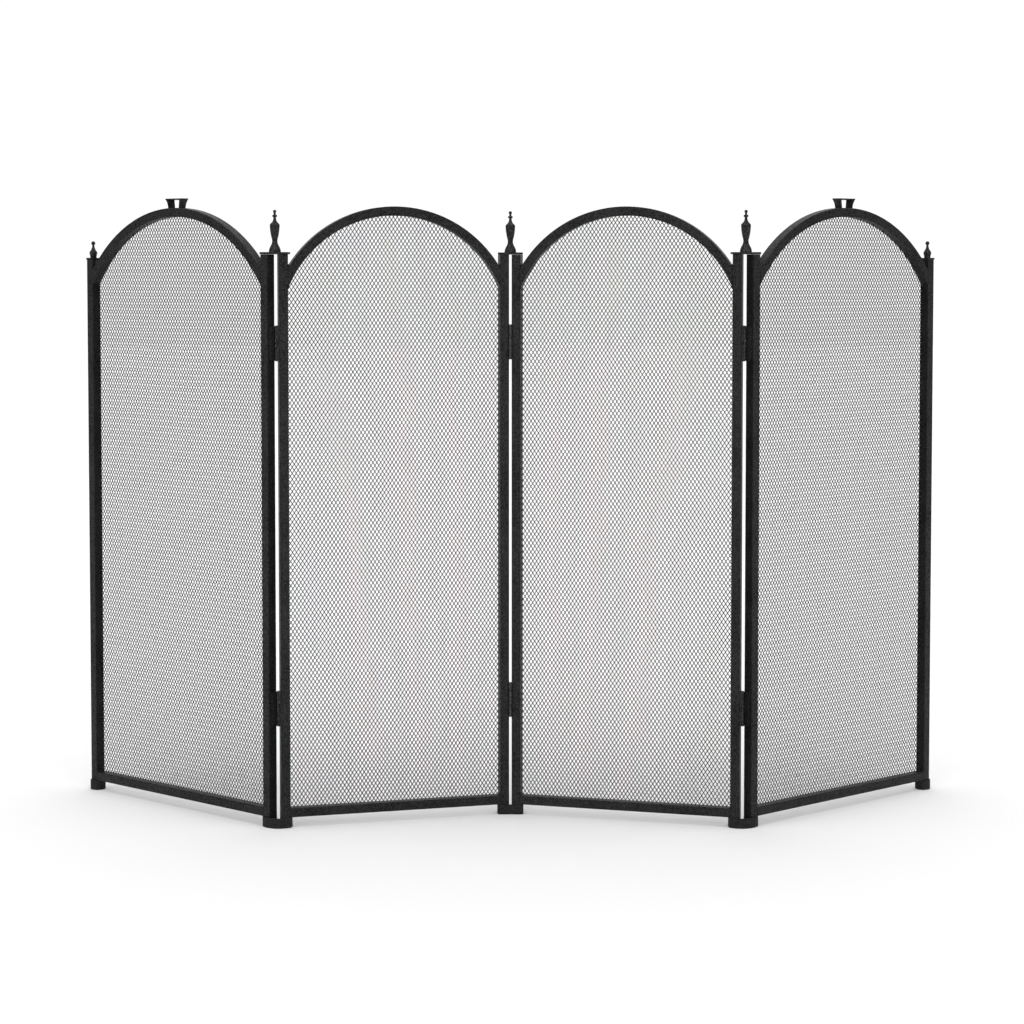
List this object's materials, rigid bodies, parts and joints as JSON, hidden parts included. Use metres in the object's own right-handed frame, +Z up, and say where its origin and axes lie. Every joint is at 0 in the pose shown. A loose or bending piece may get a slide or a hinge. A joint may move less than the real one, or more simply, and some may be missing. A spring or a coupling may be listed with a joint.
{
  "type": "folding fireplace screen",
  "caption": "Folding fireplace screen with arched panels of tube and diamond mesh, joined by butt hinges, with turned finials and lift handles.",
  "frame": {"origin": "on the floor, in the middle of the screen's plan as it stands open", "axes": "+X right seen from the room, +Y back towards the fire, +Z up"},
  "size_m": [1.2418, 0.2678, 0.8669],
  "materials": {
    "frame": "black powder coat, fine texture, satin",
    "mesh": "black powder coat on diamond mesh",
    "fittings": "black coated castings and plates",
    "hinge": "black coated steel",
    "pin": "dark steel pin",
    "foot": "black moulded plastic"
  },
  "bodies": {
    "left_middle": {"centre_cap": "fittings", "centre_finial": "fittings", "centre_foot": "foot", "centre_hinge_lower_end_leaf": "hinge", "centre_hinge_lower_pin": "pin", "centre_hinge_upper_end_leaf": "hinge", "centre_hinge_upper_pin": "pin", "left_cap": "fittings", "left_finial": "fittings", "left_foot": "foot", "left_hinge_lower_end_leaf": "hinge", "left_hinge_lower_pin": "pin", "left_hinge_upper_end_leaf": "hinge", "left_hinge_upper_pin": "pin", "left_middle_arch": "frame", "left_middle_bead": "mesh", "left_middle_mesh": "mesh", "left_middle_rail": "frame", "left_middle_stile_l": "frame", "left_middle_stile_r": "frame"},
    "left_outer": {"left_hinge_lower_mid_leaf": "hinge", "left_hinge_upper_mid_leaf": "hinge", "left_outer_arch": "frame", "left_outer_bead": "mesh", "left_outer_handle": "frame", "left_outer_mesh": "mesh", "left_outer_rail": "frame", "left_outer_stile_l": "frame", "left_outer_stile_r": "frame", "left_post_ferrule": "foot", "left_post_finial": "fittings", "left_post_plate": "fittings"},
    "right_middle": {"centre_hinge_lower_mid_leaf": "hinge", "centre_hinge_upper_mid_leaf": "hinge", "right_cap": "fittings", "right_finial": "fittings", "right_foot": "foot", "right_hinge_lower_end_leaf": "hinge", "right_hinge_lower_pin": "pin", "right_hinge_upper_end_leaf": "hinge", "right_hinge_upper_pin": "pin", "right_middle_arch": "frame", "right_middle_bead": "mesh", "right_middle_mesh": "mesh", "right_middle_rail": "frame", "right_middle_stile_l": "frame", "right_middle_stile_r": "frame"},
    "right_outer": {"right_hinge_lower_mid_leaf": "hinge", "right_hinge_upper_mid_leaf": "hinge", "right_outer_arch": "frame", "right_outer_bead": "mesh", "right_outer_handle": "frame", "right_outer_mesh": "mesh", "right_outer_rail": "frame", "right_outer_stile_l": "frame", "right_outer_stile_r": "frame", "right_post_ferrule": "foot", "right_post_finial": "fittings", "right_post_plate": "fittings"}
  },
  "joints": [
    {"name": "left_fold", "type": "hinge", "parent": "left_middle", "child": "left_outer", "pos_m": [-0.31966, -0.11479, 0], "axis": [0, 0, -1], "range_deg": [-56.4, 89.6]},
    {"name": "centre_fold", "type": "hinge", "parent": "left_middle", "child": "right_middle", "pos_m": [0, -0.04476, 0], "axis": [0, 0, -1], "range_deg": [-31.3, 140.7]},
    {"name": "right_fold", "type": "hinge", "parent": "right_middle", "child": "right_outer", "pos_m": [0.31966, -0.11479, 0], "axis": [0, 0, 1], "range_deg": [-56.4, 89.6]}
  ]
}
